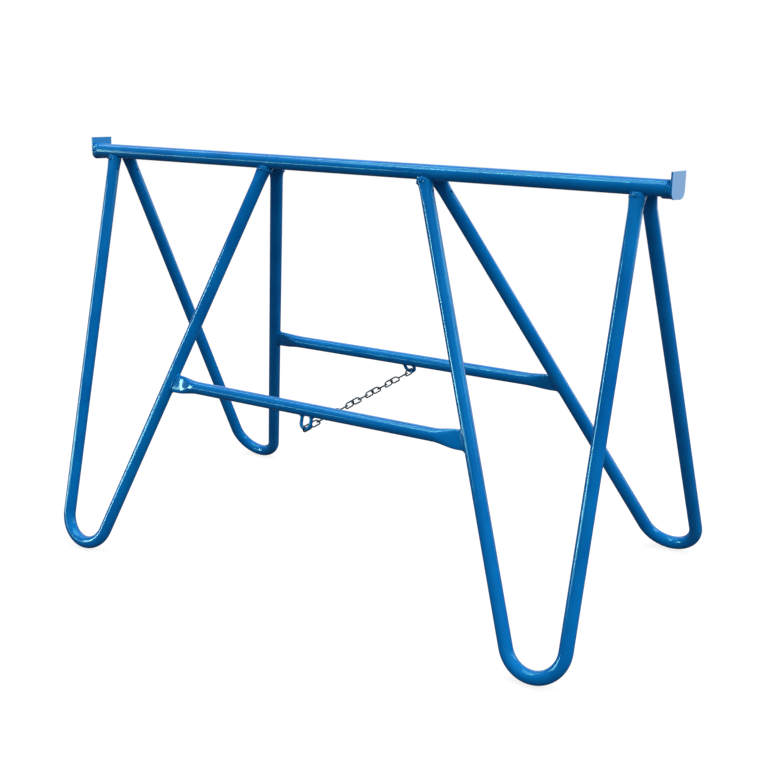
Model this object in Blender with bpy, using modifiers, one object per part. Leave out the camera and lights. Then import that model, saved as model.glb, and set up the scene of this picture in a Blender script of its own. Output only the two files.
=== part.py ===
"""Folding site trestle: a tubular front frame with the top rail, a back frame hinged behind it, and a chain.

Each frame has two bent V legs and a brace. The back frame turns on a long hinge rod that runs behind the rail
in two bushes on the end stops, and a chain between the braces stops the frames from opening further.

World axes: +X along the rail, +Z up, front frame towards -Y. The origin is on the ground, midway between the
four feet. Lengths are metres.
"""

import math

import bmesh
import bpy
from mathutils import Matrix, Vector

# Overall sizes
RAIL_HEIGHT = 0.800
OVERALL_LENGTH = 1.300
SPLAY = math.radians(19.7)

# Top rail and end stops
RAIL_DIAMETER = 0.028
RAIL_WALL = 0.002
RAIL_END_GAP = 0.0065
STOP_THICKNESS = 0.003
STOP_WIDTH = 0.054
STOP_HEIGHT = 0.0445
STOP_TILT = math.radians(7.5)
STOP_LEAD = 0.011
STOP_RISE = 0.0263
STOP_CORNER_RADIUS = 0.014

# Hinge behind the rail
HINGE_OFFSET = 0.034
HINGE_ROD_DIAMETER = 0.016
BUSH_DIAMETER = 0.025
BUSH_LENGTH = 0.0335
BUSH_CHAMFER = 0.0045

# V legs
TUBE_DIAMETER = 0.025
TUBE_WALL = 0.002
LEG_TO_BUSH_GAP = 0.003
INNER_LEG_LEAN = math.radians(21.0)
FOOT_BEND_RADIUS = 0.057
LEG_CRUSH_LENGTH = 0.027
FRONT_CRUSH_WIDTH = 0.029
FRONT_CRUSH_THICKNESS = 0.0204
BACK_CRUSH_WIDTH = 0.031
BACK_CRUSH_THICKNESS = 0.016
VENT_DIAMETER = 0.005
VENT_DROP = 0.036

# Braces, measured up the panel from the lowest centreline of the feet
BRACE_RISE = 0.3666
BRACE_CRUSH_LENGTH = 0.050
BRACE_CRUSH_HEIGHT = 0.036
BRACE_CRUSH_THICKNESS = 0.0104

# Chain and its staples
STAPLE_ROD_DIAMETER = 0.007
STAPLE_WIDTH = 0.022
FRONT_STAPLE_DROP = 0.0235
BACK_STAPLE_DROP = 0.018
FRONT_STAPLE_X = -0.001
BACK_STAPLE_X = 0.0
LINK_COUNT = 16
BACK_LINK_COUNT = 2
LINK_WIRE_DIAMETER = 0.003
LINK_INNER_WIDTH = 0.008
LINK_TURN = math.radians(60.0)

# Weld beads and clearances
WELD_RADIUS = 0.0022
SEAT_GAP = 0.0003
HINGE_CLEARANCE = 0.0004
OPEN_LINK_GAP = 0.0014

# Facets
TUBE_SIDES = 16
ROD_SIDES = 32
CUTTER_SIDES = 48
WIRE_SIDES = 6
STAPLE_SIDES = 12
FOOT_SEGMENTS = 10
CRUSH_SEGMENTS = 3
WELD_POINTS = 16
LINK_ARC_SEGMENTS = 7
STAPLE_ARC_SEGMENTS = 10
CORNER_SEGMENTS = 6
SMOOTH_ANGLE = math.radians(40.0)

RAIL_RADIUS = RAIL_DIAMETER / 2
TUBE_RADIUS = TUBE_DIAMETER / 2
HINGE_ROD_RADIUS = HINGE_ROD_DIAMETER / 2
STAPLE_ROD_RADIUS = STAPLE_ROD_DIAMETER / 2
LINK_WIRE_RADIUS = LINK_WIRE_DIAMETER / 2
STOP_INNER_X = OVERALL_LENGTH / 2 - STOP_THICKNESS
WELD_REACH = 2 * WELD_RADIUS + SEAT_GAP
LEG_TOP_REACH = max(FRONT_CRUSH_WIDTH, BACK_CRUSH_WIDTH) / 2 + WELD_REACH
OUTER_LEG_X = STOP_INNER_X - SEAT_GAP - BUSH_LENGTH - LEG_TO_BUSH_GAP - LEG_TOP_REACH

# The front frame carries the rail. The hinge axis lies square behind it, seen along the front frame's panel.
RAIL_AXIS = Vector((0.0, -HINGE_OFFSET * math.cos(2 * SPLAY) / (2 * math.cos(SPLAY)), RAIL_HEIGHT - RAIL_RADIUS))
HINGE_AXIS = RAIL_AXIS + HINGE_OFFSET * Vector((0.0, math.cos(SPLAY), -math.sin(SPLAY)))

ENAMEL = ("blue_enamel", (0.005, 0.130, 0.450), 0.22, 0.0)
STOP_ENAMEL = ("stop_blue_enamel", (0.006, 0.150, 0.480), 0.25, 0.0)
ZINC = ("chain_zinc", (0.095, 0.130, 0.140), 0.38, 1.0)

SIDES = {"left": -1.0, "right": 1.0}


class Panel:
    """One frame's plane: x along the rail, rise up the plane from the feet's lowest centreline, n outwards."""

    def __init__(self, name, axis, facing, axis_radius, crush_width, crush_thickness):
        self.name = name
        self.axis = axis
        self.axis_radius = axis_radius
        self.crush_width = crush_width
        self.crush_thickness = crush_thickness
        self.up = Vector((0.0, -facing * math.sin(SPLAY), math.cos(SPLAY)))
        self.normal = Vector((0.0, facing * math.cos(SPLAY), math.sin(SPLAY)))
        self.height = (axis.z - TUBE_RADIUS) / math.cos(SPLAY)
        self.foot_line = axis - self.up * self.height

    def place(self, x, rise, n=0.0):
        """World point of panel coordinates."""
        return self.foot_line + Vector((x, 0.0, 0.0)) + self.up * rise + self.normal * n

    def measure(self, point):
        """Panel coordinates of a world point."""
        offset = point - self.foot_line
        return point.x, offset.dot(self.up), offset.dot(self.normal)


FRONT = Panel("front", RAIL_AXIS, -1.0, RAIL_RADIUS, FRONT_CRUSH_WIDTH, FRONT_CRUSH_THICKNESS)
BACK = Panel("back", HINGE_AXIS, 1.0, HINGE_ROD_RADIUS, BACK_CRUSH_WIDTH, BACK_CRUSH_THICKNESS)


def inner_leg_x(rise):
    """Centreline of the leaning inner leg, tangent to the foot bend."""
    tangent_x = OUTER_LEG_X - FOOT_BEND_RADIUS * (1.0 + math.cos(INNER_LEG_LEAN))
    tangent_rise = FOOT_BEND_RADIUS * (1.0 - math.sin(INNER_LEG_LEAN))
    return tangent_x - math.tan(INNER_LEG_LEAN) * (rise - tangent_rise)


def smooth_step(value):
    """Ease from 0 to 1 with level ends."""
    value = min(1.0, max(0.0, value))
    return value * value * (3.0 - 2.0 * value)


# Scene set-up


def clear_scene():
    """Remove every object that is already in the file."""
    for item in list(bpy.data.objects):
        bpy.data.objects.remove(item, do_unlink=True)


def make_collection(name):
    """New collection linked to the scene."""
    collection = bpy.data.collections.new(name)
    bpy.context.scene.collection.children.link(collection)
    return collection


def make_material(recipe):
    """Principled material from a (name, colour, roughness, metallic) recipe, made once."""
    name, colour, roughness, metallic = recipe
    if name in bpy.data.materials:
        return bpy.data.materials[name]
    material = bpy.data.materials.new(name)
    material.use_nodes = True
    shader = material.node_tree.nodes["Principled BSDF"]
    shader.inputs["Base Color"].default_value = (*colour, 1.0)
    shader.inputs["Roughness"].default_value = roughness
    shader.inputs["Metallic"].default_value = metallic
    material.diffuse_color = (*colour, 1.0)
    return material


def make_pivot(name, location, parent=None):
    """Empty on a joint axis, which carries the pieces that turn with it."""
    pivot = bpy.data.objects.new(name, None)
    pivot.empty_display_size = 0.05
    parts.objects.link(pivot)
    pivot.location = location
    attach(pivot, parent)
    return pivot


def attach(item, parent):
    """Parent an object and keep it where it is."""
    if parent is None:
        return
    bpy.context.view_layer.update()
    item.parent = parent
    item.matrix_parent_inverse = parent.matrix_world.inverted()


def finish_part(item, recipe, parent):
    """Put a finished solid in the model: material, smooth shading and parent."""
    item.data.materials.clear()
    item.data.materials.append(make_material(recipe))
    item.data.shade_smooth()
    item.data.set_sharp_from_angle(angle=SMOOTH_ANGLE)
    attach(item, parent)
    return item


# Shape makers


def mesh_object(name, build, collection):
    """Object whose mesh is filled by a function of a bmesh."""
    mesh = bpy.data.meshes.new(name)
    shape = bmesh.new()
    build(shape)
    shape.to_mesh(mesh)
    shape.free()
    item = bpy.data.objects.new(name, mesh)
    collection.objects.link(item)
    return item


def wire_object(name, points, radius, sides, caps=True, cyclic=False):
    """Round bar along a list of points, made from a bevelled curve."""
    curve = bpy.data.curves.new(name, "CURVE")
    curve.dimensions = "3D"
    curve.bevel_depth = radius
    curve.bevel_resolution = (sides - 4) // 2
    curve.use_fill_caps = caps
    spline = curve.splines.new("POLY")
    spline.points.add(len(points) - 1)
    for target, point in zip(spline.points, points):
        target.co = (*point, 1.0)
    spline.use_cyclic_u = cyclic
    guide = bpy.data.objects.new(name, curve)
    parts.objects.link(guide)
    evaluated = guide.evaluated_get(bpy.context.evaluated_depsgraph_get())
    mesh = bpy.data.meshes.new_from_object(evaluated)
    matrix = guide.matrix_world.copy()
    bpy.data.objects.remove(guide, do_unlink=True)
    bpy.data.curves.remove(curve)
    shape = bmesh.new()
    shape.from_mesh(mesh)
    bmesh.ops.remove_doubles(shape, verts=shape.verts, dist=0.00001)
    shape.to_mesh(mesh)
    shape.free()
    item = bpy.data.objects.new(name, mesh)
    item.matrix_world = matrix
    parts.objects.link(item)
    return item


def cylinder_object(name, start, end, radius, sides, collection, open_ends=False):
    """Straight cylinder between two points."""
    axis = end - start
    turn = axis.to_track_quat("Z", "Y").to_matrix().to_4x4()

    def build(shape):
        bmesh.ops.create_cone(
            shape,
            cap_ends=not open_ends,
            segments=sides,
            radius1=radius,
            radius2=radius,
            depth=axis.length,
            matrix=Matrix.Translation((start + end) / 2) @ turn,
        )

    return mesh_object(name, build, collection)


def make_cutter(name, start, end, radius, sides=CUTTER_SIDES):
    """Hidden cylinder that other pieces are cut with."""
    cutter = cylinder_object(name, start, end, radius, sides, cutters)
    cutter.display_type = "WIRE"
    cutter.hide_render = True
    return cutter


def add_wall(item, thickness):
    """Give an open tube skin its wall, inwards."""
    wall = item.modifiers.new("wall", "SOLIDIFY")
    wall.thickness = thickness
    wall.offset = -1.0
    wall.use_even_offset = True


def add_cut(item, cutter):
    """Cut one piece with a cutter."""
    cut = item.modifiers.new(cutter.name, "BOOLEAN")
    cut.operation = "DIFFERENCE"
    cut.solver = "EXACT"
    cut.object = cutter


def squash(item, panel, offsets_and_scales):
    """Move each vertex of a tube skin by a rule in panel coordinates."""
    for vertex in item.data.vertices:
        x, rise, n = panel.measure(vertex.co)
        vertex.co = panel.place(*offsets_and_scales(x, rise, n))


# Pieces of the front frame's top


def make_rail():
    """Top rail, a straight tube between the end stops."""
    reach = Vector((STOP_INNER_X - RAIL_END_GAP, 0.0, 0.0))
    rail = cylinder_object("top_rail", RAIL_AXIS - reach, RAIL_AXIS + reach, RAIL_RADIUS, ROD_SIDES, parts, True)
    add_wall(rail, RAIL_WALL)
    return finish_part(rail, ENAMEL, front_frame)


def stop_outline():
    """Outline of an end stop in its own plane, from the rail's axis: back along u and up along v."""
    front = -STOP_LEAD
    back = STOP_WIDTH - STOP_LEAD
    top = STOP_RISE
    bottom = STOP_RISE - STOP_HEIGHT
    points = [(front, top), (back, top)]
    for centre_u, first_angle in ((back - STOP_CORNER_RADIUS, 0.0), (front + STOP_CORNER_RADIUS, -math.pi / 2)):
        for step in range(CORNER_SEGMENTS + 1):
            angle = first_angle - math.pi / 2 * step / CORNER_SEGMENTS
            u = centre_u + STOP_CORNER_RADIUS * math.cos(angle)
            v = bottom + STOP_CORNER_RADIUS * (1.0 + math.sin(angle))
            points.append((u, v))
    return points


def make_end_stop(side):
    """Flat end stop, square on top and rounded below, tilted back a little."""
    sign = SIDES[side]
    along = Vector((0.0, math.cos(STOP_TILT), -math.sin(STOP_TILT)))
    upward = Vector((0.0, math.sin(STOP_TILT), math.cos(STOP_TILT)))
    start = RAIL_AXIS + Vector((sign * STOP_INNER_X, 0.0, 0.0))

    def build(shape):
        corners = [shape.verts.new(start + along * u + upward * v) for u, v in stop_outline()]
        face = shape.faces.new(corners)
        sheet = bmesh.ops.extrude_face_region(shape, geom=[face])
        outer = [piece for piece in sheet["geom"] if isinstance(piece, bmesh.types.BMVert)]
        bmesh.ops.translate(shape, verts=outer, vec=(sign * STOP_THICKNESS, 0.0, 0.0))
        bmesh.ops.recalc_face_normals(shape, faces=shape.faces)

    return finish_part(mesh_object(f"end_stop_{side}", build, parts), STOP_ENAMEL, front_frame)


def make_bush(side):
    """Hinge bush on the stop's inner face, with a tapered inner end and a bore for the rod."""
    sign = SIDES[side]
    outer_x = sign * (STOP_INNER_X - SEAT_GAP)
    inner_x = outer_x - sign * BUSH_LENGTH
    start = HINGE_AXIS + Vector((outer_x, 0.0, 0.0))
    end = HINGE_AXIS + Vector((inner_x, 0.0, 0.0))
    bush = cylinder_object(f"hinge_bush_{side}", start, end, BUSH_DIAMETER / 2, ROD_SIDES, parts)
    for vertex in bush.data.vertices:
        if abs(vertex.co.x - inner_x) < SEAT_GAP:
            spoke = vertex.co - end
            vertex.co = end + spoke * (1.0 - 2.0 * taper_depth() / BUSH_DIAMETER)
    insert_taper_ring(bush, inner_x + sign * BUSH_CHAMFER)
    bore_radius = HINGE_ROD_RADIUS + HINGE_CLEARANCE
    reach = Vector((sign * BUSH_LENGTH, 0.0, 0.0))
    bore = make_cutter(f"bush_bore_{side}", end - reach, start + reach, bore_radius, ROD_SIDES)
    add_cut(bush, bore)
    return finish_part(bush, ENAMEL, front_frame)


def taper_depth():
    """How far the bush's tapered end draws in, most of its wall."""
    return 0.4 * (BUSH_DIAMETER - HINGE_ROD_DIAMETER)


def insert_taper_ring(bush, ring_x):
    """Full-diameter ring where the bush's taper starts."""
    shape = bmesh.new()
    shape.from_mesh(bush.data)
    geometry = list(shape.verts) + list(shape.edges) + list(shape.faces)
    centre = Vector((ring_x, HINGE_AXIS.y, HINGE_AXIS.z))
    cut = bmesh.ops.bisect_plane(shape, geom=geometry, plane_co=centre, plane_no=(1.0, 0.0, 0.0))
    for piece in cut["geom_cut"]:
        if isinstance(piece, bmesh.types.BMVert):
            spoke = piece.co - centre
            piece.co = centre + spoke.normalized() * (BUSH_DIAMETER / 2)
    shape.to_mesh(bush.data)
    shape.free()


def make_hinge_rod():
    """Long rod of the back frame, which turns in the bushes."""
    reach = Vector((STOP_INNER_X - HINGE_CLEARANCE, 0.0, 0.0))
    rod = cylinder_object("hinge_rod", HINGE_AXIS - reach, HINGE_AXIS + reach, HINGE_ROD_RADIUS, ROD_SIDES, parts)
    return finish_part(rod, ENAMEL, back_frame)


# V legs and braces


def leg_points(panel):
    """Centreline of a right-hand V leg as (x, rise), outer top to inner top."""
    tops = [panel.height, panel.height - panel.axis_radius]
    for step in range(1, CRUSH_SEGMENTS + 1):
        tops.append(panel.height - panel.axis_radius - LEG_CRUSH_LENGTH * step / CRUSH_SEGMENTS)
    points = [(OUTER_LEG_X, rise) for rise in tops]
    sweep = math.pi - INNER_LEG_LEAN
    for step in range(FOOT_SEGMENTS + 1):
        angle = sweep * step / FOOT_SEGMENTS
        x = OUTER_LEG_X - FOOT_BEND_RADIUS * (1.0 - math.cos(angle))
        points.append((x, FOOT_BEND_RADIUS * (1.0 - math.sin(angle))))
    points += [(inner_leg_x(rise), rise) for rise in reversed(tops)]
    return points


def make_leg(panel, side, seat_cutter, parent):
    """V leg bent from one tube, crush-formed and coped at its tops, with a vent hole in each top."""
    sign = SIDES[side]
    points = [panel.place(sign * x, rise) for x, rise in leg_points(panel)]
    leg = wire_object(f"{panel.name}_leg_{side}", points, TUBE_RADIUS, TUBE_SIDES, caps=False)
    middle_x = (OUTER_LEG_X + inner_leg_x(panel.height)) / 2

    def crush(x, rise, n):
        start = panel.height - panel.axis_radius - LEG_CRUSH_LENGTH
        amount = smooth_step((rise - start) / LEG_CRUSH_LENGTH)
        centre = sign * (OUTER_LEG_X if abs(x) > middle_x else inner_leg_x(rise))
        width_scale = 1.0 + amount * (panel.crush_width / TUBE_DIAMETER - 1.0)
        thickness_scale = 1.0 + amount * (panel.crush_thickness / TUBE_DIAMETER - 1.0)
        return centre + (x - centre) * width_scale, rise, n * thickness_scale

    squash(leg, panel, crush)
    add_wall(leg, TUBE_WALL)
    add_cut(leg, seat_cutter)
    for vent in make_vents(panel, side):
        add_cut(leg, vent)
    return finish_part(leg, ENAMEL, parent)


def make_vents(panel, side):
    """Cutters for the vent holes, on the sides of the two tubes that face each other."""
    sign = SIDES[side]
    rise = panel.height - VENT_DROP
    outer = panel.place(sign * OUTER_LEG_X, rise)
    inner = panel.place(sign * inner_leg_x(rise), rise)
    square_to_inner = Vector((sign * math.cos(INNER_LEG_LEAN), 0.0, 0.0)) + panel.up * math.sin(INNER_LEG_LEAN)
    radius = VENT_DIAMETER / 2
    outward = Vector((-sign * TUBE_DIAMETER, 0.0, 0.0))
    return [
        make_cutter(f"{panel.name}_outer_vent_{side}", outer, outer + outward, radius, WIRE_SIDES * 2),
        make_cutter(
            f"{panel.name}_inner_vent_{side}", inner, inner + square_to_inner * TUBE_DIAMETER, radius, WIRE_SIDES * 2
        ),
    ]


def make_brace(panel, parent):
    """Brace between the inner legs, flattened and coped at both ends."""
    end_x = inner_leg_x(BRACE_RISE)
    weld_reach = (TUBE_RADIUS + 2 * WELD_RADIUS) / math.cos(INNER_LEG_LEAN)
    shoulder = inner_leg_x(BRACE_RISE + BRACE_CRUSH_HEIGHT / 2) - weld_reach
    reaches = [end_x, shoulder]
    for step in range(1, CRUSH_SEGMENTS + 1):
        reaches.append(shoulder - BRACE_CRUSH_LENGTH * step / CRUSH_SEGMENTS)
    stations = [-x for x in reaches] + list(reversed(reaches))
    points = [panel.place(x, BRACE_RISE) for x in stations]
    brace = wire_object(f"{panel.name}_brace", points, TUBE_RADIUS, TUBE_SIDES, caps=False)

    def flatten(x, rise, n):
        amount = smooth_step((abs(x) - shoulder + BRACE_CRUSH_LENGTH) / BRACE_CRUSH_LENGTH)
        height_scale = 1.0 + amount * (BRACE_CRUSH_HEIGHT / TUBE_DIAMETER - 1.0)
        thickness_scale = 1.0 + amount * (BRACE_CRUSH_THICKNESS / TUBE_DIAMETER - 1.0)
        return x, BRACE_RISE + (rise - BRACE_RISE) * height_scale, n * thickness_scale

    squash(brace, panel, flatten)
    add_wall(brace, TUBE_WALL)
    for side, sign in SIDES.items():
        low = BRACE_RISE - 2 * BRACE_CRUSH_HEIGHT
        high = BRACE_RISE + 2 * BRACE_CRUSH_HEIGHT
        start = panel.place(sign * inner_leg_x(low), low)
        end = panel.place(sign * inner_leg_x(high), high)
        add_cut(brace, make_cutter(f"{panel.name}_brace_cope_{side}", start, end, TUBE_RADIUS + SEAT_GAP))
    return finish_part(brace, ENAMEL, parent)


# Weld beads


def weld_ring(name, points, parent, radius=WELD_RADIUS):
    """Closed bead along a seam."""
    return finish_part(wire_object(name, points, radius, WIRE_SIDES, cyclic=True), ENAMEL, parent)


def ring_angles():
    """Even steps round a bead."""
    return [2.0 * math.pi * step / WELD_POINTS for step in range(WELD_POINTS)]


def offset_ellipse(half_width, half_height, distance, angle):
    """Point at an even distance outside an ellipse."""
    toward = math.hypot(half_height * math.cos(angle), half_width * math.sin(angle))
    across = (half_width + distance * half_height / toward) * math.cos(angle)
    upward = (half_height + distance * half_width / toward) * math.sin(angle)
    return across, upward


def make_leg_weld(panel, side, which, parent):
    """Saddle-shaped bead where a leg's top meets the rail or the hinge rod."""
    sign = SIDES[side]
    stand_off = WELD_RADIUS + SEAT_GAP
    seat = panel.axis_radius + stand_off
    points = []
    for angle in ring_angles():
        across, n = offset_ellipse(panel.crush_width / 2, panel.crush_thickness / 2, stand_off, angle)
        n = max(-seat, min(seat, n))
        rise = panel.height - math.sqrt(seat * seat - n * n)
        if which == "outer":
            x = OUTER_LEG_X + across
        else:
            x = inner_leg_x(rise) + across / math.cos(INNER_LEG_LEAN)
        points.append(panel.place(sign * x, rise, n))
    return weld_ring(f"{panel.name}_{which}_leg_weld_{side}", points, parent)


def make_brace_weld(panel, side, parent):
    """Saddle-shaped bead where a brace's flattened end meets the inner leg."""
    sign = SIDES[side]
    stand_off = WELD_RADIUS + SEAT_GAP
    seat = TUBE_RADIUS + stand_off
    points = []
    for angle in ring_angles():
        upward, n = offset_ellipse(BRACE_CRUSH_HEIGHT / 2, BRACE_CRUSH_THICKNESS / 2, stand_off, angle)
        rise = BRACE_RISE + upward
        x = inner_leg_x(rise) - math.sqrt(seat * seat - n * n) / math.cos(INNER_LEG_LEAN)
        points.append(panel.place(sign * x, rise, n))
    return weld_ring(f"{panel.name}_brace_weld_{side}", points, parent)


def make_rail_weld(side):
    """Bead that fills the gap between the rail's end and the end stop, flush with the rail."""
    sign = SIDES[side]
    bead_radius = RAIL_END_GAP / 2 - SEAT_GAP
    radius = RAIL_RADIUS - bead_radius
    x = sign * (STOP_INNER_X - RAIL_END_GAP / 2)
    points = []
    for angle in ring_angles():
        points.append(RAIL_AXIS + Vector((x, radius * math.cos(angle), radius * math.sin(angle))))
    return weld_ring(f"rail_weld_{side}", points, front_frame, bead_radius)


# Chain and staples


def staple_seat(panel, x, drop):
    """Middle of a staple's bottom bar, where the chain's end link hangs."""
    return panel.place(x, BRACE_RISE - TUBE_RADIUS - drop)


def make_staple(panel, x, drop, parent):
    """Round bar bent to a U and welded under the brace."""
    radius = STAPLE_WIDTH / 2
    centre_rise = BRACE_RISE - TUBE_RADIUS - drop + radius
    points = [panel.place(x - radius, BRACE_RISE)]
    for step in range(STAPLE_ARC_SEGMENTS + 1):
        angle = math.pi * step / STAPLE_ARC_SEGMENTS
        points.append(panel.place(x - radius * math.cos(angle), centre_rise - radius * math.sin(angle)))
    points.append(panel.place(x + radius, BRACE_RISE))
    staple = wire_object(f"{panel.name}_staple", points, STAPLE_ROD_RADIUS, STAPLE_SIDES)
    reach = Vector((STAPLE_WIDTH, 0.0, 0.0))
    middle = panel.place(x, BRACE_RISE)
    seat_radius = TUBE_RADIUS + SEAT_GAP
    add_cut(staple, make_cutter(f"{panel.name}_staple_seat", middle - reach, middle + reach, seat_radius))
    return finish_part(staple, ENAMEL, parent)


def link_points(centre, along, turn, half_length):
    """Centreline of a chain link: two half rounds joined by straight sides."""
    sideways = Matrix.Rotation(turn, 3, along) @ Vector((0.0, 0.0, 1.0))
    round_radius = (LINK_INNER_WIDTH + LINK_WIRE_DIAMETER) / 2
    round_centre = half_length - round_radius
    points = []
    for end in (1.0, -1.0):
        for step in range(LINK_ARC_SEGMENTS + 1):
            angle = math.pi * step / LINK_ARC_SEGMENTS
            lengthwise = end * (round_centre + round_radius * math.sin(angle))
            across = end * round_radius * math.cos(angle)
            points.append(centre + along * lengthwise + sideways * across)
    return points


def make_chain():
    """Links from staple to staple: a front strand, and a short back strand past the open pivot."""
    start = staple_seat(FRONT, FRONT_STAPLE_X, FRONT_STAPLE_DROP)
    end = staple_seat(BACK, BACK_STAPLE_X, BACK_STAPLE_DROP)
    along = (end - start).normalized()
    span = (end - start).length
    hook = STAPLE_ROD_RADIUS + LINK_WIRE_RADIUS + SEAT_GAP
    # Two touching links share one wire and the seat gap, and the two strands stand apart by the open gap.
    overlap = LINK_WIRE_DIAMETER + SEAT_GAP
    joints = LINK_COUNT - 2
    length = (span + 2 * hook + joints * overlap - LINK_WIRE_DIAMETER - OPEN_LINK_GAP) / LINK_COUNT
    pitch = length - overlap
    front_count = LINK_COUNT - BACK_LINK_COUNT
    # Each link is turned against the one before it, and both end links stand upright on their staples.
    half_turns = round((LINK_COUNT - 1) * LINK_TURN / math.pi)
    turn_step = math.pi * half_turns / (LINK_COUNT - 1)
    for index in range(LINK_COUNT):
        in_back = index >= front_count
        if in_back:
            centre = end - along * (length / 2 - hook + pitch * (LINK_COUNT - 1 - index))
        else:
            centre = start + along * (length / 2 - hook + pitch * index)
        points = link_points(centre, along, -turn_step * index, length / 2)
        link = wire_object(f"chain_link_{index + 1:02d}", points, LINK_WIRE_RADIUS, WIRE_SIDES, cyclic=True)
        finish_part(link, ZINC, chain_back if in_back else chain_front)


clear_scene()
parts = make_collection("folding_trestle")
cutters = make_collection("cutters")

front_frame = make_pivot("front_frame", RAIL_AXIS)
back_frame = make_pivot("back_frame", HINGE_AXIS, front_frame)
chain_front = make_pivot("chain_front", staple_seat(FRONT, FRONT_STAPLE_X, FRONT_STAPLE_DROP), front_frame)
chain_back = make_pivot("chain_back", staple_seat(BACK, BACK_STAPLE_X, BACK_STAPLE_DROP), back_frame)

make_rail()
make_hinge_rod()
for stop_side in SIDES:
    make_end_stop(stop_side)
    make_bush(stop_side)
    make_rail_weld(stop_side)

for frame_panel, frame_pivot, staple_x, staple_drop in (
    (FRONT, front_frame, FRONT_STAPLE_X, FRONT_STAPLE_DROP),
    (BACK, back_frame, BACK_STAPLE_X, BACK_STAPLE_DROP),
):
    cutter_reach = Vector((OVERALL_LENGTH / 2, 0.0, 0.0))
    cope = make_cutter(
        f"{frame_panel.name}_cope",
        frame_panel.axis - cutter_reach,
        frame_panel.axis + cutter_reach,
        frame_panel.axis_radius + SEAT_GAP,
    )
    for leg_side in SIDES:
        make_leg(frame_panel, leg_side, cope, frame_pivot)
        make_leg_weld(frame_panel, leg_side, "outer", frame_pivot)
        make_leg_weld(frame_panel, leg_side, "inner", frame_pivot)
        make_brace_weld(frame_panel, leg_side, frame_pivot)
    make_brace(frame_panel, frame_pivot)
    make_staple(frame_panel, staple_x, staple_drop, frame_pivot)

make_chain()
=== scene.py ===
"""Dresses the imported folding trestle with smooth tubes, crushed tube ends, weld metal, a chain and a studio.

Lengths are metres in the row frame: +X along the rail, +Z up, and the front frame towards -Y.
"""

from __future__ import annotations

import logging
import math
from collections.abc import Iterable, Sequence
from dataclasses import dataclass
from enum import Enum

import bmesh
import bpy
from mathutils import Matrix, Vector, noise

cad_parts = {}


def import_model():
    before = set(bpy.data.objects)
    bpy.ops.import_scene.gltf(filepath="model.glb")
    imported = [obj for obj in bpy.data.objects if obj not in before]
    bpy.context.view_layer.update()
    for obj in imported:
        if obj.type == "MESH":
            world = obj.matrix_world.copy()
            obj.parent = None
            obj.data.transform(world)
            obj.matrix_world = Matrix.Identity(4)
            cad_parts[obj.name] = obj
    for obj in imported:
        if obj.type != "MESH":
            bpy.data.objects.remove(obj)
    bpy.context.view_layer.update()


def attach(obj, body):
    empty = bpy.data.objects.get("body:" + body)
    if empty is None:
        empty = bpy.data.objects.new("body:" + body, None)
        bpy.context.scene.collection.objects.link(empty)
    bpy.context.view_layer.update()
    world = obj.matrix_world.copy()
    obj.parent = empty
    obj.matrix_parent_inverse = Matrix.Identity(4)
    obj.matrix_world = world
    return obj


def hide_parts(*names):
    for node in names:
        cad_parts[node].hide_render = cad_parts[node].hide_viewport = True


Shape = bmesh.types.BMesh
Pair = tuple[float, float]
Triple = tuple[float, float, float]
Tones = tuple[tuple[float, str], ...]
Settings = tuple[tuple[str, object], ...]

LOG = logging.getLogger("trestle")
PHOTO_SIDE = 774.0
MILLIMETRE = 0.001
FULL_TURN = 2.0 * math.pi
SHARP_EDGE = math.radians(60.0)
ARRIS_FACETS = 2
SAME_PLACE = 0.01 * MILLIMETRE
SEED_STRIDES = (1.0, 0.37, 0.71)
X_AXIS = Vector((1.0, 0.0, 0.0)).freeze()
WHITE = (1.0, 1.0, 1.0, 1.0)


class Side(Enum):
    """A half of the trestle, by the sign of X."""

    LEFT = -1.0
    RIGHT = 1.0

    @property
    def word(self) -> str:
        """The half's name in node names."""
        return self.name.lower()


class LegTop(Enum):
    """Which of a V leg's two tops."""

    OUTER = "outer"
    INNER = "inner"


class Slot(Enum):
    """The record's material slots."""

    ENAMEL = "enamel"
    STOP_ENAMEL = "stop_enamel"
    ZINC = "zinc"


class Crease(Enum):
    """The angle in degrees past which a piece's edges stay sharp in shading."""

    PLATE = 20.0
    BUSH = 30.0
    TUBE = 40.0
    SEAM = 60.0
    WELD = 80.0


# Finishes


def linear(hex_colour: str) -> tuple[float, float, float, float]:
    """Turn an sRGB hex colour into linear RGBA.

    Args:
        hex_colour: A # and six hex digits.

    Returns:
        The colour as linear red, green, blue and an alpha of 1.
    """
    parts = [int(hex_colour[index : index + 2], 16) / 255.0 for index in (1, 3, 5)]
    red, green, blue = (p / 12.92 if p <= 0.04045 else ((p + 0.055) / 1.055) ** 2.4 for p in parts)
    return red, green, blue, 1.0


def add_node(
    owner: bpy.types.ID,
    kind: str,
    settings: dict[str | int, object] | None = None,
    links: dict[str | int, bpy.types.NodeSocket] | None = None,
    output: str | int = 0,
) -> bpy.types.NodeSocket | None:
    """Add a shader node, set its properties and sockets, and link its inputs.

    Args:
        owner: The material or world whose node tree gets the node.
        kind: The node's type name, after ShaderNode.
        settings: Property names, input names or input indices, with their values.
        links: Input names or indices, with the output sockets that feed them.
        output: The output that the caller goes on with.

    Returns:
        That output's socket, or None for a node that has no outputs.
    """
    node = owner.node_tree.nodes.new(f"ShaderNode{kind}")
    for key, value in (settings or {}).items():
        if isinstance(key, int) or key in node.inputs:
            node.inputs[key].default_value = value
        else:
            setattr(node, key, value)
    for key, source in (links or {}).items():
        owner.node_tree.links.new(source, node.inputs[key])
    return node.outputs[output] if node.outputs else None


def new_material(name: str) -> bpy.types.Material:
    """Make a material with an empty node tree.

    Args:
        name: The material's name.

    Returns:
        The new material.
    """
    material = bpy.data.materials.new(name)
    material.use_nodes = True
    material.node_tree.nodes.clear()
    return material


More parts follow.
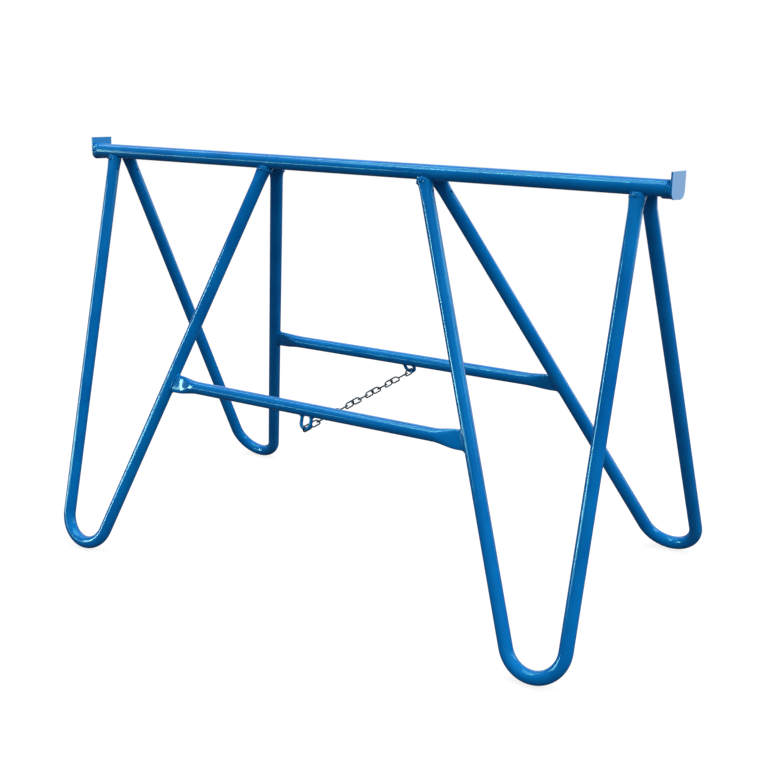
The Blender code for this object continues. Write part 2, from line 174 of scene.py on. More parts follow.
def ends(low: float, high: float, to_low: float = 0.0, to_high: float = 1.0) -> dict[str, float]:
    """List the ends of a map from one range to another."""
    return {"From Min": low, "From Max": high, "To Min": to_low, "To Max": to_high}


@dataclass(frozen=True)
class Grain:
    """A cloudy pattern's pitch and depth, how it breaks up, and how far it streaks upright."""

    pitch_mm: float
    detail: float
    roughness: float
    depth_mm: float = 0.0
    streak: float = 1.0

    @property
    def settings(self) -> dict[str, float]:
        """The settings of its noise texture."""
        scale = 1.0 / (self.pitch_mm * MILLIMETRE)
        return {"Scale": scale, "Detail": self.detail, "Roughness": self.roughness}


@dataclass(frozen=True)
class Coat:
    """What covers the steel: tones and a haze that drift together, over one or more reliefs."""

    name: str
    slot: Slot
    tones: Tones
    drift: Grain
    roughness: float
    rough_spread: float
    rough_reach: Pair
    reliefs: tuple[Grain, ...]
    shader: Settings

    def material(self) -> bpy.types.Material:
        """Build the coat's nodes.

        Returns:
            The finished material.
        """
        made = new_material(self.name)
        place = add_node(made, "TexCoord", output="Object")
        drift = add_node(made, "TexNoise", self.drift.settings, {"Vector": place})
        tone = add_node(made, "ValToRGB", links={"Fac": drift})
        stops = tone.node.color_ramp.elements
        stops[0].position, stops[1].position = self.tones[0][0], self.tones[-1][0]
        for position, _ in self.tones[1:-1]:
            stops.new(position)
        for stop, (_, colour) in zip(stops, self.tones):
            stop.color = linear(colour)
        low, high = self.roughness - self.rough_spread, self.roughness + self.rough_spread
        haze = add_node(made, "MapRange", ends(*self.rough_reach, low, high), {"Value": drift})
        skin = {"Base Color": tone, "Roughness": haze}
        for relief in self.reliefs:
            stretch = {"operation": "MULTIPLY", 1: (1.0, 1.0, 1.0 / relief.streak)}
            stretched = add_node(made, "VectorMath", stretch, {0: place})
            under = {"Normal": skin["Normal"]} if "Normal" in skin else {}
            under["Height"] = add_node(made, "TexNoise", relief.settings, {"Vector": stretched})
            skin["Normal"] = add_node(made, "Bump", {"Distance": relief.depth_mm * MILLIMETRE}, under)
        surface = add_node(made, "BsdfPrincipled", dict(self.shader), skin)
        add_node(made, "OutputMaterial", links={"Surface": surface})
        return made


@dataclass(frozen=True)
class StoveEnamel(Coat):
    """Stoved gloss enamel on steel: deep blue and wet-looking.

    Its film drifts in thickness along a tube, so the blue deepens and thins, and the spray gun left a faint
    orange peel: soft dimples a few millimetres apart, which wobble the long reflections.
    """

    slot: Slot = Slot.ENAMEL
    tones: Tones = ((0.32, "#015ea6"), (0.5, "#0266ae"), (0.72, "#036eb6"))
    drift: Grain = Grain(90.0, 3.0, 0.55)
    roughness: float = 0.11
    rough_spread: float = 0.02
    rough_reach: Pair = (0.3, 0.7)
    reliefs: tuple[Grain, ...] = (Grain(5.0, 1.5, 0.4, depth_mm=0.018),)
    shader: Settings = (("Metallic", 0.0), ("IOR", 1.52), ("Specular Tint", linear("#88fff2")))


@dataclass(frozen=True)
class ZincPlate(Coat):
    """Bright zinc on drawn wire, dulled by handling: grey-green metal with a broken-up sheen.

    It blooms in patches, which are paler, smoother and a little proud.
    """

    slot: Slot = Slot.ZINC
    tones: Tones = ((0.35, "#264252"), (0.65, "#4a6b7b"))
    drift: Grain = Grain(2.2, 3.0, 0.6)
    roughness: float = 0.34
    rough_spread: float = -0.1
    rough_reach: Pair = (0.0, 1.0)
    reliefs: tuple[Grain, ...] = (Grain(2.2, 3.0, 0.6, depth_mm=0.02),)
    shader: Settings = (("Metallic", 1.0),)


class Finish(Enum):
    """The trestle's finishes."""

    TUBE = StoveEnamel("tube_enamel")
    # Weld metal under the film: solidified ripples and spatter, rounded off by the paint.
    WELD = StoveEnamel(
        "weld_enamel",
        drift=Grain(25.0, 3.0, 0.55),
        roughness=0.1,
        reliefs=(Grain(5.0, 1.5, 0.4, depth_mm=0.018), Grain(3.6, 2.5, 0.5, depth_mm=0.4)),
    )
    # On rolled plate the peel stretches into upright streaks.
    PLATE = StoveEnamel(
        "plate_enamel",
        Slot.STOP_ENAMEL,
        drift=Grain(30.0, 3.0, 0.55),
        roughness=0.24,
        reliefs=(Grain(3.0, 1.5, 0.4, depth_mm=0.06, streak=9.0),),
    )
    WIRE = ZincPlate("zinc_plated_wire")


# Geometry shared by the sub-assemblies


@dataclass(frozen=True)
class Sizes:
    """The trestle's sizes, as the CAD model has them."""

    rail_height: float = 0.800
    overall_length: float = 1.300
    splay: float = math.radians(19.7)
    rail_radius: float = 0.014
    rail_wall: float = 0.002
    tube_radius: float = 0.0125
    hinge_offset: float = 0.034
    rod_radius: float = 0.008
    stop_thickness: float = 0.003
    seat_gap: float = 0.0003
    outer_leg_x: float = 0.590
    inner_lean: float = math.radians(21.0)
    foot_radius: float = 0.057
    brace_rise: float = 0.3666
    staple_radius: float = 0.0035

    @property
    def rail_axis(self) -> Vector:
        """A point on the rail's axis, at X = 0."""
        lead = self.hinge_offset * math.cos(2.0 * self.splay) / (2.0 * math.cos(self.splay))
        return Vector((0.0, -lead, self.rail_height - self.rail_radius))

    @property
    def hinge_axis(self) -> Vector:
        """A point on the hinge's axis, at X = 0."""
        return self.rail_axis + self.hinge_offset * Vector((0.0, math.cos(self.splay), -math.sin(self.splay)))

    @property
    def stop_inner_x(self) -> float:
        """How far out the end stops' inner faces are."""
        return self.overall_length / 2.0 - self.stop_thickness

    def lean(self, top: LegTop) -> float:
        """How far a leg's half with that top leans inwards."""
        return self.inner_lean if top is LegTop.INNER else 0.0

    def leg_x(self, top: LegTop, rise: float) -> float:
        """X of a right-hand leg's centreline.

        Args:
            top: Which half of the leg, by its top.
            rise: Distance up the panel from the feet's lowest centreline.

        Returns:
            The centreline's X.
        """
        if top is LegTop.OUTER:
            return self.outer_leg_x
        tangent_x = self.outer_leg_x - self.foot_radius * (1.0 + math.cos(self.inner_lean))
        tangent_rise = self.foot_radius * (1.0 - math.sin(self.inner_lean))
        return tangent_x - math.tan(self.inner_lean) * (rise - tangent_rise)


@dataclass(frozen=True)
class Panel:
    """The sloping plane of one frame: x along the rail, rise up from the feet's axis, and n out of it."""

    label: str
    body: str
    seat_axis: Vector
    seat_radius: float
    facing: float
    sizes: Sizes

    @property
    def up(self) -> Vector:
        """Direction up the panel."""
        return Vector((0.0, -self.facing * math.sin(self.sizes.splay), math.cos(self.sizes.splay)))

    @property
    def normal(self) -> Vector:
        """Direction out of the panel, away from the other frame."""
        return Vector((0.0, self.facing * math.cos(self.sizes.splay), math.sin(self.sizes.splay)))

    @property
    def height(self) -> float:
        """Rise of the rail's or the hinge rod's axis."""
        return (self.seat_axis.z - self.sizes.tube_radius) / math.cos(self.sizes.splay)

    @property
    def seat(self) -> float:
        """Rise of the rail's or the hinge rod's underside."""
        return self.height - self.seat_radius

    def place(self, x: float, rise: float, n: float = 0.0) -> Vector:
        """Turn panel coordinates into a point."""
        foot = self.seat_axis - self.up * self.height
        return foot + Vector((x, 0.0, 0.0)) + self.up * rise + self.normal * n

    def measure(self, point: Vector) -> Triple:
        """Turn a point into its x, rise and n."""
        offset = point - (self.seat_axis - self.up * self.height)
        return point.x, offset.dot(self.up), offset.dot(self.normal)


def ease(value: float) -> float:
    """Ease from 0 to 1 with level ends."""
    held = min(1.0, max(0.0, value))
    return held * held * (3.0 - 2.0 * held)


def signed_power(value: float, power: float) -> float:
    """Raise a value's size to a power and keep its sign."""
    return math.copysign(abs(value) ** power, value)


def around(count: int) -> list[float]:
    """List angles evenly spaced round a circle."""
    return [FULL_TURN * step / count for step in range(count)]


def draw_bar(
    shape: Shape,
    points: Sequence[Vector],
    across: Vector,
    half: float,
    facets: int,
    closed: bool = False,
    swell: Sequence[Pair] = (),
) -> None:
    """Draw a bar along a path, by extruding a circle from each point to the next.

    Args:
        shape: The mesh that gets the bar.
        points: The path.
        across: A direction that each section's X follows.
        half: The bar's radius.
        facets: Facets round the bar.
        closed: Whether the path joins up; an open one is capped.
        swell: How many times as wide and as high each section is.
    """
    count = len(points)
    sections = []
    for index, point in enumerate(points):
        before = points[index - 1] if closed or index > 0 else point
        after = points[(index + 1) % count] if closed or index < count - 1 else point
        forward = (after - before).normalized()
        sideways = (across - forward * across.dot(forward)).normalized()
        section = Matrix((sideways * half, forward.cross(sideways) * half, forward)).transposed().to_4x4()
        section.translation = point
        if swell:
            section @= Matrix.Diagonal((*swell[index], 1.0, 1.0))
        sections.append(section)
    if closed:
        sections.append(sections[0].copy())
    first = bmesh.ops.create_circle(shape, cap_ends=False, segments=facets, radius=1.0, matrix=sections[0])
    ring = set(first["verts"])
    start = edges = [edge for edge in shape.edges if ring.issuperset(edge.verts)]
    for here, there in zip(sections, sections[1:]):
        drawn = bmesh.ops.extrude_edge_only(shape, edges=edges)["geom"]
        moved = [piece for piece in drawn if isinstance(piece, bmesh.types.BMVert)]
        edges = [piece for piece in drawn if isinstance(piece, bmesh.types.BMEdge)]
        bmesh.ops.transform(shape, matrix=there @ here.inverted(), verts=moved)
    if closed:
        seam = {vertex for edge in start + edges for vertex in edge.verts}
        bmesh.ops.remove_doubles(shape, verts=list(seam), dist=SAME_PLACE)
    else:
        bmesh.ops.contextual_create(shape, geom=start)
        bmesh.ops.contextual_create(shape, geom=edges)


def spin_section(corners: Iterable[Pair], facets: int, centre: Vector) -> Shape:
    """Spin a closed section round the X axis into a solid.

    Args:
        corners: The section's corners, each as X and radius.
        facets: Facets round the solid.
        centre: A point that the solid's axis goes through, at X = 0.

    Returns:
        The new solid.
    """
    shape = bmesh.new()
    wall = shape.faces.new([shape.verts.new((x, 0.0, radius)) for x, radius in corners])
    rim = list(wall.edges)
    shape.faces.remove(wall)
    bmesh.ops.spin(
        shape, geom=rim, cent=(0.0, 0.0, 0.0), axis=X_AXIS, angle=FULL_TURN, steps=facets, use_merge=True
    )
    bmesh.ops.translate(shape, verts=shape.verts, vec=centre)
    return shape


def add_barrel(shape: Shape, place: Matrix, radii: Pair, length: float, facets: int) -> None:
    """Add a capped cylinder or cone along its own Z axis."""
    low, high = radii
    bmesh.ops.create_cone(
        shape, cap_ends=True, segments=facets, radius1=low, radius2=high, depth=length, matrix=place
    )


def round_edges(shape: Shape, edges: list[bmesh.types.BMEdge], offset: float, facets: int) -> None:
    """Round edges of a shape, each set back by an offset."""
    bmesh.ops.bevel(
        shape,
        geom=edges,
        offset=offset,
        offset_type="OFFSET",
        segments=facets,
        profile=0.5,
        affect="EDGES",
        material=-1,
    )


def ease_arrises(shape: Shape, offset: float) -> None:
    """Take the sharpness off all of a shape's arrises."""
    arrises = [edge for edge in shape.edges if edge.calc_face_angle(0.0) > SHARP_EDGE]
    round_edges(shape, arrises, offset, ARRIS_FACETS)


def roughen(vertices: Iterable[bmesh.types.BMVert], depth: float, pitch: float, seed: float) -> None:
    """Push vertices along their normals by smooth noise.

    Args:
        vertices: The vertices to move.
        depth: The largest move.
        pitch: The distance between lumps.
        seed: Shifts the noise, so that no two welds match.
    """
    shift = Vector([seed * stride for stride in SEED_STRIDES])
    moves = [(v, v.normal * depth * noise.noise(v.co / pitch + shift)) for v in vertices]
    for vertex, move in moves:
        vertex.co += move


@dataclass(frozen=True)
class WeldBead:
    """How a weld bead is laid: its mean radius, its stretch across, its puddles and its lumpiness."""

    radius: float
    stretch: float
    puddles: int
    lumps: float
    puddle_wave: float = 0.06
    slow_wave: float = 0.05
    slow_turns: float = 3.0
    taper_points: int = 5
    taper_start: float = 0.3
    grit: float = 0.0006
    grit_limit: float = 0.3
    grit_pitch: float = 1.5
    facets: int = 20

    def lay(
        self, shape: Shape, points: Sequence[Vector], across: Vector, seed: float, closed: bool = True
    ) -> None:
        """Lay the bead along a seam.

        Args:
            shape: The mesh that gets the bead.
            points: The seam.
            across: A direction that the bead's sections follow.
            seed: Varies the bead.
            closed: Whether the seam joins up; the ends of an open one taper off.
        """
        count = len(points)
        swell = []
        for index, turn in enumerate(around(count)):
            ripple = self.puddle_wave * math.sin(self.puddles * turn + seed)
            slow = self.slow_wave * math.sin(self.slow_turns * turn + 2.0 * seed)
            size = 1.0 + self.lumps * (ripple + slow)
            if not closed:
                from_end = min(index, count - 1 - index)
                size *= math.sqrt(min(1.0, (from_end + self.taper_start) / self.taper_points))
            swell.append((size * self.stretch, size))
        before = set(shape.verts)
        draw_bar(shape, points, across, self.radius, self.facets, closed, swell)
        fresh = [vertex for vertex in shape.verts if vertex not in before]
        bmesh.ops.recalc_face_normals(shape, faces=shape.faces)
        shape.normal_update()
        depth = self.lumps * min(self.grit_limit * self.radius, self.grit)
        roughen(fresh, depth, self.grit_pitch * self.radius, seed)


def mesh_object(name: str, shape: Shape) -> bpy.types.Object:
    """Make an object of a shape, with outward faces.

    Args:
        name: The object's name.
        shape: The finished shape, which is freed.

    Returns:
        The new object.
    """
    bmesh.ops.recalc_face_normals(shape, faces=shape.faces)
    mesh = bpy.data.meshes.new(name)
    shape.to_mesh(mesh)
    shape.free()
    made = bpy.data.objects.new(name, mesh)
    bpy.context.scene.collection.objects.link(made)
    return made


class PieceMaker:
    """Turns finished shapes into pieces of the trestle."""

    def __init__(self) -> None:
        """Make each finish's material once."""
        self.materials = {finish: finish.value.material() for finish in Finish}
        self.count = 0

    def _carve(self, piece: bpy.types.Object, cutter: bpy.types.Object) -> None:
        """Cut a piece with a cutter, keep the result and remove the cutter.

        Args:
            piece: The piece that is cut.
            cutter: The shape that is taken away.
        """
        cut = piece.modifiers.new("carve", "BOOLEAN")
        cut.operation = "DIFFERENCE"
        cut.solver = "EXACT"
        cut.object = cutter
        bpy.context.view_layer.update()
        evaluated = piece.evaluated_get(bpy.context.evaluated_depsgraph_get())
        carved = bpy.data.meshes.new_from_object(evaluated)
        piece.modifiers.clear()
        piece.data = carved
        bpy.data.objects.remove(cutter, do_unlink=True)

    def add(
        self,
        name: str,
        shape: Shape,
        finish: Finish,
        body: str,
        node: str = "",
        crease: Crease = Crease.TUBE,
        drills: Shape | None = None,
    ) -> None:
        """Make a piece, with its finish, its body and the CAD node that it stands for, and report it.

        Args:
            name: The piece's name.
            shape: Its shape, which is freed.
            finish: Its finish.
            body: The CAD body that it moves with.
            node: The CAD node that it replaces, if any.
            crease: Which of its edges stay sharp.
            drills: What is cut out of it, if anything.
        """
        piece = mesh_object(name, shape)
        if drills:
            self._carve(piece, mesh_object(f"{name}_drills", drills))
        piece.data.shade_smooth()
        piece.data.set_sharp_from_angle(angle=math.radians(crease.value))
        piece.data.materials.clear()
        piece.data.materials.append(self.materials[finish])
        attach(piece, body)
        if node:
            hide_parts(node)
        self.count += 1
        LOG.info("%s on %s, %d faces", name, body, len(piece.data.polygons))


# Sub-assemblies


@dataclass(frozen=True)
class RailSeam:
    """How a rail end is welded to its stop: where the bead lies, and what stays open on top."""

    bead: WeldBead
    inset: float
    proud: float
    seed: float
    front_gap: float = 0.0
    back_gap: float = 0.0


@dataclass
class RailTop:
    """The top rail with its end stops, hinge bushes and the welds that join them."""

    maker: PieceMaker
    sizes: Sizes
    body: str = "front_frame"
    rail_facets: int = 64
    rail_end_gap: float = 0.0065
    stop_width: float = 0.054
    stop_height: float = 0.0445
    stop_lead: float = 0.011
    stop_rise: float = 0.0263
    stop_tilt: float = math.radians(7.5)
    stop_corner: float = 0.014
    stop_corner_facets: int = 10
    stop_arris: float = 0.0004
    bush_radius: float = 0.0125
    bush_length: float = 0.0335
    bush_taper: float = 0.0045
    bush_bore: float = 0.0084
    bush_lip: float = 0.0005
    bush_facets: int = 48
    root_depth: float = 0.003
    root_radius: float = 0.0075
    seam_points: int = 64
    heaped_seam: RailSeam = RailSeam(WeldBead(0.0048, 1.8, 14, 2.6), inset=0.0072, proud=0.0012, seed=2.1)
    open_seam: RailSeam = RailSeam(
        WeldBead(0.0048, 0.95, 14, 0.5), 0.0031, 0.0002, 4.1, math.radians(52.0), math.radians(95.0)
    )

    def build(self) -> None:
        """Build every piece of the rail's top."""
        self._rail()
        for side in Side:
            self._stop(side)
            self._bush(side)
            self._rail_weld(side)

    def _rail(self) -> None:
        """Spin a tube's wall section into the rail."""
        reach = self.sizes.stop_inner_x - self.rail_end_gap
        outer = self.sizes.rail_radius
        inner = outer - self.sizes.rail_wall
        wall = ((-reach, outer), (reach, outer), (reach, inner), (-reach, inner))
        shape = spin_section(wall, self.rail_facets, self.sizes.rail_axis)
        self.maker.add("rail_tube", shape, Finish.TUBE, self.body, "top_rail")

    def _stop(self, side: Side) -> None:
        """Cut an end stop from plate, with its lower corners rounded and every arris eased.

        Args:
            side: Which end it is for.
        """
        shape = bmesh.new()
        scale = Matrix.Diagonal((self.sizes.stop_thickness, self.stop_width, self.stop_height, 1.0))
        bmesh.ops.create_cube(shape, size=1.0, matrix=scale)
        # Of the lower edges, the corners are the two that run through the plate.
        low = [edge for edge in shape.edges if all(vertex.co.z < 0.0 for vertex in edge.verts)]
        low = [edge for edge in low if abs(edge.verts[0].co.x - edge.verts[1].co.x) > SAME_PLACE]
        round_edges(shape, low, self.stop_corner, self.stop_corner_facets)
        ease_arrises(shape, self.stop_arris)
        # The plate's middle is behind and above the rail's axis, as measured in the tilted plate.
        middle = (
            side.value * (self.sizes.stop_inner_x + self.sizes.stop_thickness / 2.0),
            self.stop_width / 2.0 - self.stop_lead,
            self.stop_rise - self.stop_height / 2.0,
        )
        bmesh.ops.translate(shape, verts=shape.verts, vec=middle)
        tilt = Matrix.Translation(self.sizes.rail_axis) @ Matrix.Rotation(-self.stop_tilt, 4, "X")
        bmesh.ops.transform(shape, matrix=tilt, verts=shape.verts)
        name, node = f"stop_plate_{side.word}", f"end_stop_{side.word}"
        self.maker.add(name, shape, Finish.PLATE, self.body, node, Crease.PLATE)

    def _bush(self, side: Side) -> None:
        """Spin a hinge bush, bored for the rod and tapered at its inner end.

        Args:
            side: Which end it is for.
        """
        root = side.value * (self.sizes.stop_inner_x - self.sizes.seat_gap)
        wall = (
            (0.0, self.bush_radius),
            (self.bush_length - self.bush_taper, self.bush_radius),
            (self.bush_length, self.bush_bore + self.bush_lip),
            (self.bush_length, self.bush_bore),
            (0.0, self.bush_bore),
        )
        corners = [(root - side.value * inward, radius) for inward, radius in wall]
        shape = spin_section(corners, self.bush_facets, self.sizes.hinge_axis)
        name, node = f"hinge_sleeve_{side.word}", f"hinge_bush_{side.word}"
        self.maker.add(name, shape, Finish.TUBE, self.body, node, Crease.BUSH)

    def _rail_weld(self, side: Side) -> None:
        """Close the rail's end and weld it to the stop: open on top at the right, heaped at the left.

        Args:
            side: Which end it is for.
        """
        sizes = self.sizes
        axis = sizes.rail_axis
        end = sizes.stop_inner_x - self.rail_end_gap
        face = sizes.stop_inner_x - sizes.seat_gap
        # The root of the weld closes the tube and narrows towards the stop.
        inside = sizes.rail_radius - sizes.seat_gap
        bore = inside - sizes.rail_wall
        brim = end + sizes.seat_gap
        shape = bmesh.new()
        for near, far, radii in (
            (end - self.root_depth, brim, (bore, bore)),
            (brim, face, (inside, self.root_radius)),
        ):
            middle = Vector((side.value * (near + far) / 2.0, axis.y, axis.z))
            lie = Matrix.Translation(middle) @ Matrix.Rotation(side.value * math.pi / 2.0, 4, "Y")
            add_barrel(shape, lie, radii, far - near, self.bush_facets)
        seam = self.open_seam if side is Side.RIGHT else self.heaped_seam
        closed = seam.back_gap == 0.0
        turn = FULL_TURN - seam.front_gap - seam.back_gap
        reach = sizes.rail_radius + seam.proud - seam.bead.radius
        points = []
        for step in range(self.seam_points if closed else self.seam_points + 1):
            # Angles run from the top over the back, under the rail and up its front.
            angle = seam.back_gap + turn * step / self.seam_points
            offset = (side.value * (face - seam.inset), reach * math.sin(angle), reach * math.cos(angle))
            points.append(axis + Vector(offset))
        seam.bead.lay(shape, points, X_AXIS, seam.seed, closed)
        # The heaped weld ends inside the stop plate.
        limit = sizes.stop_inner_x + sizes.stop_thickness / 2.0
        for vertex in shape.verts:
            vertex.co.x = max(-limit, min(limit, vertex.co.x))
        name, node = f"stop_fillet_{side.word}", f"rail_weld_{side.word}"
        self.maker.add(name, shape, Finish.WELD, self.body, node, Crease.SEAM)


@dataclass
class HingeRod:
    """The long rod behind the rail, which the back frame turns on."""

    maker: PieceMaker
    sizes: Sizes
    body: str = "back_frame"
    clearance: float = 0.0004
    arris: float = 0.0006
    facets: int = 48

    def build(self) -> None:
        """Turn the rod, with its ends eased."""
        shape = bmesh.new()
        lie = Matrix.Translation(self.sizes.hinge_axis) @ Matrix.Rotation(math.pi / 2.0, 4, "Y")
        radii = (self.sizes.rod_radius, self.sizes.rod_radius)
        add_barrel(shape, lie, radii, 2.0 * (self.sizes.stop_inner_x - self.clearance), self.facets)
        ease_arrises(shape, self.arris)
        self.maker.add("pivot_rod", shape, Finish.TUBE, self.body, "hinge_rod")


@dataclass
class LegFrame:
    """One frame's V legs, brace, staple and welds."""

    maker: PieceMaker
    panel: Panel
    top_width: float
    top_thickness: float
    staple_x: float
    staple_drop: float
    facets: int = 48
    foot_steps: int = 30
    shank_steps: int = 8
    top_drops_mm: tuple[float, ...] = (0, 0.8, 2, 3.5, 5.5, 8, 11, 14.5, 18.5, 23, 28, 33.5, 39.5, 46, 53)
    flare_length: float = 0.027
    pinch_length: float = 0.050
    vent_radius: float = 0.0025
    vent_drop: float = 0.036
    vent_facets: int = 24
    drill_depth: float = 0.007
    drill_clear: float = 0.004
    lip_radius: float = 0.00045
    lip_points: int = 28
    lip_facets: int = 8
    brace_end_height: float = 0.036
    brace_end_thickness: float = 0.0104
    brace_pinch: float = 0.050
    brace_pinch_steps: int = 14
    brace_middle_steps: int = 5
    brace_squareness: float = 0.42
    weld_points: int = 72
    weld_radius: float = 0.0022
    leg_bead: WeldBead = WeldBead(weld_radius, 1.9, 15, 2.2)
    leg_bead_sink: float = 0.1
    leg_bead_inset: float = 0.95
    leg_bead_drop: float = 0.005
    brace_bead: WeldBead = WeldBead(0.9 * weld_radius, 1.0, 13, 1.2)
    brace_bead_sink: float = 0.25
    brace_bead_squareness: Pair = (0.8, 0.6)
    staple_width: float = 0.022
    staple_facets: int = 24
    staple_sink: float = 0.001
    blob_sink: float = 0.0005
    blob_reach: Triple = (0.0056, 0.0058, 0.0032)
    blob_grit: Pair = (0.0011, 0.003)
    blob_divisions: int = 4
    side_seed: float = 5.0
    facing_seed: float = 1.7
    outer_seed: float = 2.3
    inner_seed: float = 7.9
    brace_seed: float = 4.4
    blob_seed: float = 2.2

    @property
    def sizes(self) -> Sizes:
        """The trestle's sizes."""
        return self.panel.sizes

    def build(self) -> None:
        """Build every piece of the frame."""
        for side in Side:
            self._leg(side)
            for top in LegTop:
                self._leg_weld(side, top)
            self._brace_weld(side)
        self._brace()
        self._staple()

    def _leg_path(self) -> list[Pair]:
        """List a right-hand leg's centreline.

        Returns:
            The x and rise of each point, from the outer top over the foot to the inner top.
        """
        low = self.sizes.foot_radius
        tops = [self.panel.seat - drop * MILLIMETRE for drop in self.top_drops_mm]
        span = low - tops[-1]
        shanks = [tops[-1] + span * step / self.shank_steps for step in range(1, self.shank_steps)]
        path = [(self.sizes.outer_leg_x, rise) for rise in tops + shanks]
        for step in range(self.foot_steps + 1):
            angle = (math.pi - self.sizes.inner_lean) * step / self.foot_steps
            x = self.sizes.outer_leg_x - low * (1.0 - math.cos(angle))
            path.append((x, low * (1.0 - math.sin(angle))))
        # The foot's bend takes the place of the inner shank's lowest step.
        path += [(self.sizes.leg_x(LegTop.INNER, rise), rise) for rise in reversed(tops + shanks[:-1])]
        return path

    def _top_at(self, x: float) -> LegTop:
        """Tell which of a right-hand leg's tops is the nearer."""
        middle = (self.sizes.outer_leg_x + self.sizes.leg_x(LegTop.INNER, self.panel.height)) / 2.0
        return LegTop.OUTER if x > middle else LegTop.INNER

    def _flare(self, drop: float) -> float:
        """How many times as wide as the tube a leg is, that far below the seat."""
        widest = self.top_width / (2.0 * self.sizes.tube_radius)
        return 1.0 + ease(1.0 - drop / self.flare_length) * (widest - 1.0)

    def _leg(self, side: Side) -> None:
        """Bend a V leg from one tube, crush and flare its tops, and drill its vents.

        Args:
            side: Which half the leg is on.
        """
        panel, radius = self.panel, self.sizes.tube_radius
        points = [panel.place(side.value * x, rise) for x, rise in self._leg_path()]
        shape = bmesh.new()
        draw_bar(shape, points, panel.normal, radius, self.facets)
        for vertex in shape.verts:
            x, rise, n = panel.measure(vertex.co)
            drop = panel.seat - rise
            if drop <= 2.0 * self.pinch_length:
                centre = side.value * self.sizes.leg_x(self._top_at(side.value * x), rise)
                limit = radius - (radius - self.top_thickness / 2.0) * ease(1.0 - drop / self.pinch_length)
                x = centre + (x - centre) * self._flare(drop)
                vertex.co = panel.place(x, rise, max(-limit, min(limit, n)))
        self._cope_ends(shape, side)
        drills, lips = bmesh.new(), bmesh.new()
        for top in LegTop:
            self._vent(drills, lips, side, top)
        name, node = f"{panel.label}_v_leg_{side.word}", f"{panel.label}_leg_{side.word}"
        self.maker.add(name, shape, Finish.TUBE, panel.body, node, drills=drills)
        name = f"{panel.label}_vent_lips_{side.word}"
        self.maker.add(name, lips, Finish.TUBE, panel.body, crease=Crease.WELD)

    def _cope_ends(self, shape: Shape, side: Side) -> None:
        """Slide the end rings along the legs until they lie on the rail or the rod.

        Args:
            shape: The leg's mesh, whose two end caps are its only large faces.
            side: Which half the leg is on.
        """
        panel = self.panel
        for vertex in {v for face in shape.faces if len(face.verts) > 4 for v in face.verts}:
            x, rise, n = panel.measure(vertex.co)
            reach = math.sqrt(max(0.0, panel.seat_radius**2 - n * n))
            lifted = panel.height - reach - self.sizes.seat_gap
            lean = self.sizes.lean(self._top_at(side.value * x))
            vertex.co = panel.place(x - side.value * math.tan(lean) * (lifted - rise), lifted, n)

    def _vent(self, drills: Shape, lips: Shape, side: Side, top: LegTop) -> None:
        """Place a vent's drill, and ring the hole with the bead of enamel that builds up on its edge.

        Args:
            drills: The shape that is cut out of the leg.
            lips: The shape that gets the ring.
            side: Which half the leg is on.
            top: Which of its tops the vent is in.
        """
        panel, radius = self.panel, self.sizes.tube_radius
        rise = panel.height - self.vent_drop
        lean = self.sizes.lean(top)
        centre = panel.place(side.value * self.sizes.leg_x(top, rise), rise)
        # Outer tops are drilled on the inside of the V, and inner tops on the side away from it.
        facing = side.value if top is LegTop.INNER else -side.value
        outward = facing * math.cos(lean) * X_AXIS + panel.up * math.sin(lean)
        along = panel.up * math.cos(lean) - side.value * math.sin(lean) * X_AXIS
        middle = centre + outward * (radius + self.drill_clear - self.drill_depth / 2.0)
        turn = outward.to_track_quat("Z", "Y").to_matrix().to_4x4()
        radii = (self.vent_radius, self.vent_radius)
        add_barrel(drills, Matrix.Translation(middle) @ turn, radii, self.drill_depth, self.vent_facets)
        aside = outward.cross(along)
        reach = radius * self._flare(self.vent_drop - panel.seat_radius)
        points = []
        for angle in around(self.lip_points):
            bend = self.vent_radius * math.sin(angle) / radius
            surface = outward * (reach * math.cos(bend)) + aside * (radius * math.sin(bend))
            points.append(centre + surface + along * (self.vent_radius * math.cos(angle)))
        draw_bar(lips, points, outward, self.lip_radius, self.lip_facets, closed=True)

    def _leg_weld(self, side: Side, top: LegTop) -> None:
        """Lay the weld round a leg's top where it meets the rail or the rod.

        Args:
            side: Which half the leg is on.
            top: Which of its tops is welded.
        """
        panel = self.panel
        sink = self.leg_bead_sink * self.weld_radius
        seat = panel.seat_radius + sink
        half_width = self.top_width / 2.0 - self.leg_bead_inset * self.weld_radius
        points = []
        for angle in around(self.weld_points):
            n = max(-seat, min(seat, (self.top_thickness / 2.0 + sink) * math.sin(angle)))
            rise = panel.height - math.sqrt(seat * seat - n * n)
            across = half_width * math.cos(angle) / math.cos(self.sizes.lean(top))
            x = side.value * (self.sizes.leg_x(top, rise) + across)
            points.append(panel.place(x, rise - self.leg_bead_drop, n))
        shape = bmesh.new()
        seed = self.outer_seed if top is LegTop.OUTER else self.inner_seed
        seed = self.side_seed * side.value + seed + self.facing_seed * panel.facing
        self.leg_bead.lay(shape, points, panel.up, seed)
        name = f"{panel.label}_{top.value}_top_fillet_{side.word}"
        node = f"{panel.label}_{top.value}_leg_weld_{side.word}"
        self.maker.add(name, shape, Finish.WELD, panel.body, node, Crease.WELD)

    def _brace_reach(self, rise: float, n: float, clear: float) -> float:
        """X at which the brace meets the right inner leg.

        Args:
            rise: Height up the panel.
            n: Distance out of the panel.
            clear: Distance kept from the leg's surface.

        Returns:
            The meeting X.
        """
        radius = self.sizes.tube_radius + clear
        inset = math.sqrt(max(0.0, radius * radius - n * n))
        return self.sizes.leg_x(LegTop.INNER, rise) - inset / math.cos(self.sizes.inner_lean)

